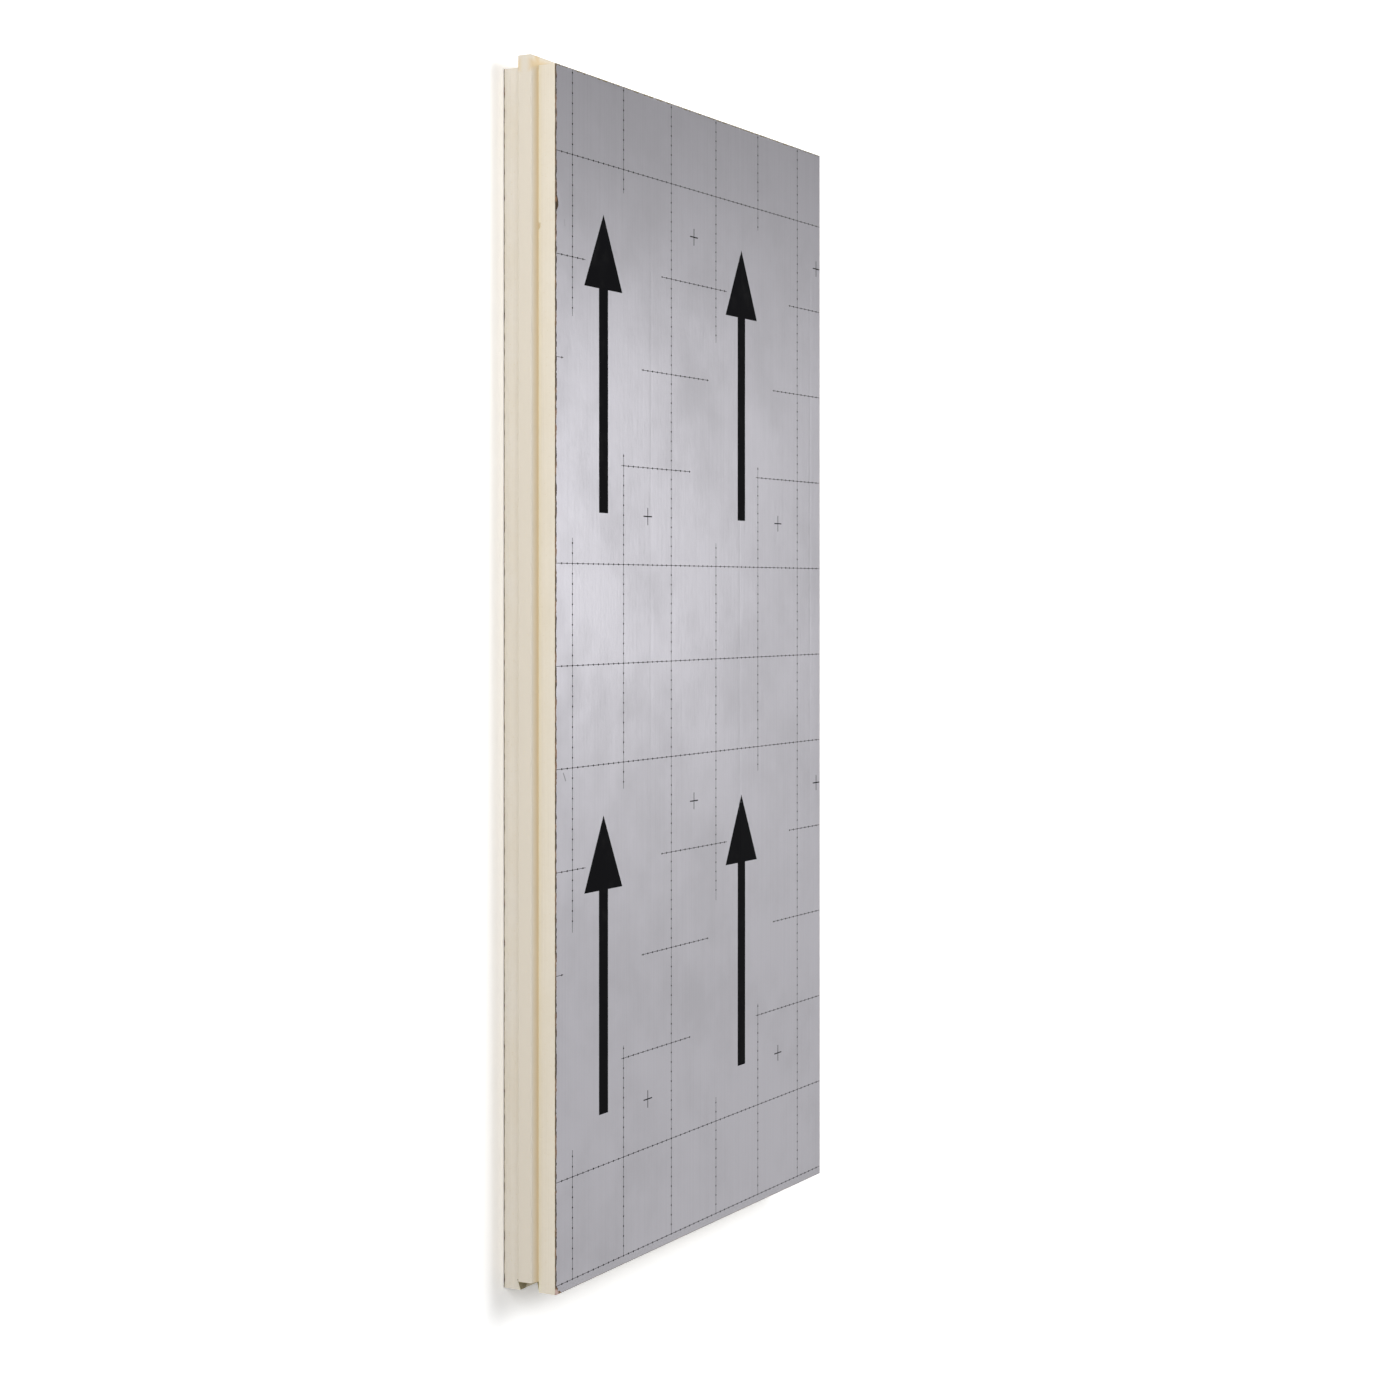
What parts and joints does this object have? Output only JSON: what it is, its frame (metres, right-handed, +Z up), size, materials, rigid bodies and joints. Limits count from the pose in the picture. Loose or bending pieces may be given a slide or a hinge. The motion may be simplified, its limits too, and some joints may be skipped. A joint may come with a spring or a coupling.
{
  "type": "insulation board",
  "caption": "Rigid foam insulation board with bonded foil facings and a tongue-and-groove profile milled round its edges.",
  "frame": {"origin": "middle of the overall outline, tongues included, on the underside of the back facing", "axes": "+Z up out of the printed front facing, X along the 1200 mm length with the end tongue at -X, and -Y out of the long edge with the tongue"},
  "size_m": [1.2095, 0.6094, 0.06],
  "materials": {
    "foam": "matte, fine-celled cut foam",
    "foil": "satin, lightly embossed and creased"
  },
  "bodies": {
    "root": {"foam_core": "foam", "front_facing": "foil", "back_facing": "foil"}
  },
  "joints": []
}
